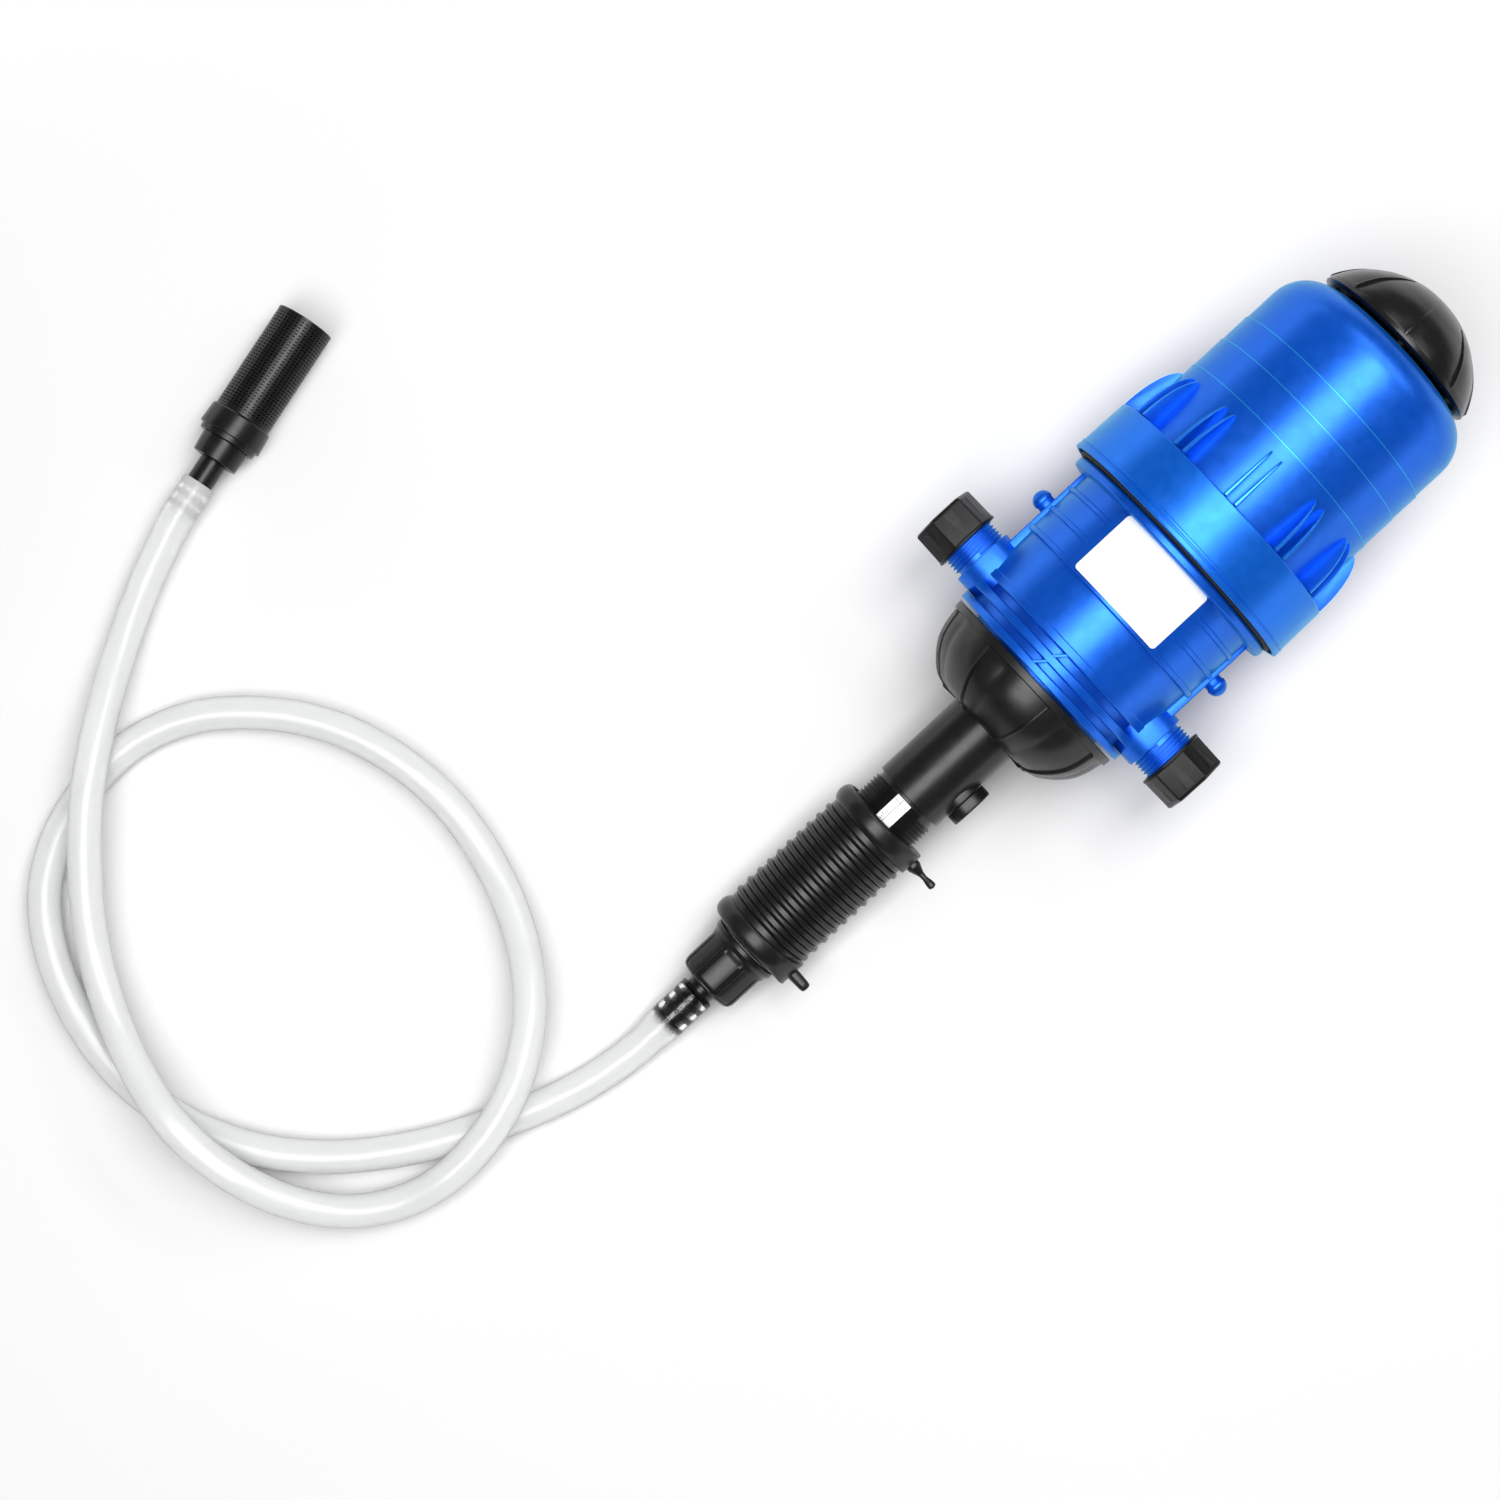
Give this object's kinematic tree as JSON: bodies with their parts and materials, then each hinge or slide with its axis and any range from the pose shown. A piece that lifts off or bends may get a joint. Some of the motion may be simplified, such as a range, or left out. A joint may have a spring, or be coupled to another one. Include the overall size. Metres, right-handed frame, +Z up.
{
  "type": "water-powered dosing injector",
  "caption": "Water-powered dosing injector lying down: domed bell, two capped threaded ports, ratio sleeve, clear suction hose in one loop with a strainer.",
  "frame": {"origin": "on the surface that the pump lies on, under the middle of the pump's own box, hose and strainer left out", "axes": "+X along the pump towards its domed end (which lies 9 degrees higher than the hose end), +Y towards the inlet port, +Z up"},
  "size_m": [0.6631, 0.4401, 0.1331],
  "materials": {
    "blue_housing": "semi-gloss moulded plastic",
    "bright_blue_ring": "semi-gloss moulded plastic",
    "black_gloss": "glossy moulded plastic",
    "black_satin": "fine-grained satin plastic",
    "white_label": "satin film",
    "natural_plastic": "plain moulded plastic",
    "seal_rubber": "smooth rubber",
    "steel": "turned stainless steel",
    "clear_hose": "milky clear flexible hose"
  },
  "bodies": {
    "housing": {"bell_cover": "blue_housing", "clamp_ring": "bright_blue_ring", "housing_seal": "seal_rubber", "pump_body": "blue_housing", "bracket_stud_left": "blue_housing", "bracket_stud_right": "blue_housing", "label_plate": "white_label", "union_cup": "black_satin", "injector_barrel": "black_satin", "scale_strip": "white_label", "side_plug": "black_gloss", "rod_guide": "natural_plastic", "rod_seal": "seal_rubber"},
    "inlet_blank": {"inlet_cap": "black_gloss"},
    "outlet_blank": {"outlet_cap": "black_gloss"},
    "piston": {"motor_piston": "natural_plastic", "piston_seal": "seal_rubber", "plunger_rod": "steel", "rod_nut": "steel", "plunger_head": "natural_plastic", "plunger_seal": "seal_rubber"},
    "valve_gear": {"valve_carrier": "natural_plastic", "inlet_poppet_1": "natural_plastic", "inlet_poppet_2": "natural_plastic", "exhaust_poppet_1": "natural_plastic", "exhaust_poppet_2": "natural_plastic", "toggle_spring": "steel"},
    "dosing_barrel": {"dosing_cylinder": "natural_plastic", "cylinder_seal": "seal_rubber", "suction_nut": "black_gloss", "barb_gasket": "seal_rubber", "hose_barb": "black_gloss", "suction_spring": "steel", "spring_seat": "natural_plastic", "suction_hose": "clear_hose", "strainer_barb": "black_satin", "strainer_hub": "black_satin", "strainer_collar": "black_satin", "filter_cage": "black_satin"},
    "suction_valve": {"suction_poppet": "natural_plastic"},
    "sleeve": {"ratio_sleeve": "black_satin", "upper_grip_ring": "black_satin", "lower_grip_ring": "black_satin"},
    "knob": {"dome_knob": "black_gloss", "knob_stem": "black_gloss", "stem_seal": "seal_rubber"}
  },
  "joints": [
    {"name": "inlet_cap_off", "type": "slide", "parent": "housing", "child": "inlet_blank", "axis": [0, 1, 0], "range_m": [0, 0.03]},
    {"name": "outlet_cap_off", "type": "slide", "parent": "housing", "child": "outlet_blank", "axis": [0, -1, 0], "range_m": [0, 0.03]},
    {"name": "piston_stroke", "type": "slide", "parent": "housing", "child": "piston", "axis": [0.9876, 0, 0.1572], "range_m": [0, 0.032]},
    {"name": "valve_shift", "type": "slide", "parent": "piston", "child": "valve_gear", "axis": [0.9876, 0, 0.1572], "range_m": [0, 0.005]},
    {"name": "ratio_travel", "type": "slide", "parent": "housing", "child": "dosing_barrel", "axis": [0.9876, 0, 0.1572], "range_m": [0, 0.012]},
    {"name": "ratio_turn", "type": "hinge", "parent": "dosing_barrel", "child": "sleeve", "pos_m": [-0.13732, 0, 0.02896], "axis": [0.9876, 0, 0.1572], "range_deg": [0, 1080]},
    {"name": "suction_lift", "type": "slide", "parent": "dosing_barrel", "child": "suction_valve", "axis": [0.9876, 0, 0.1572], "range_m": [0, 0.002], "stiffness_N_per_m": 60, "springref_m": -0.006, "deforming": ["suction_spring"]},
    {"name": "knob_turn", "type": "hinge", "parent": "housing", "child": "knob", "pos_m": [0.20072, 0, 0.08276], "axis": [0.9876, 0, 0.1572], "range_deg": [0, 90]}
  ],
  "couplings": [
    {"joint": "ratio_travel", "follows": "ratio_turn", "m_per_rad": 0.00063661}
  ]
}
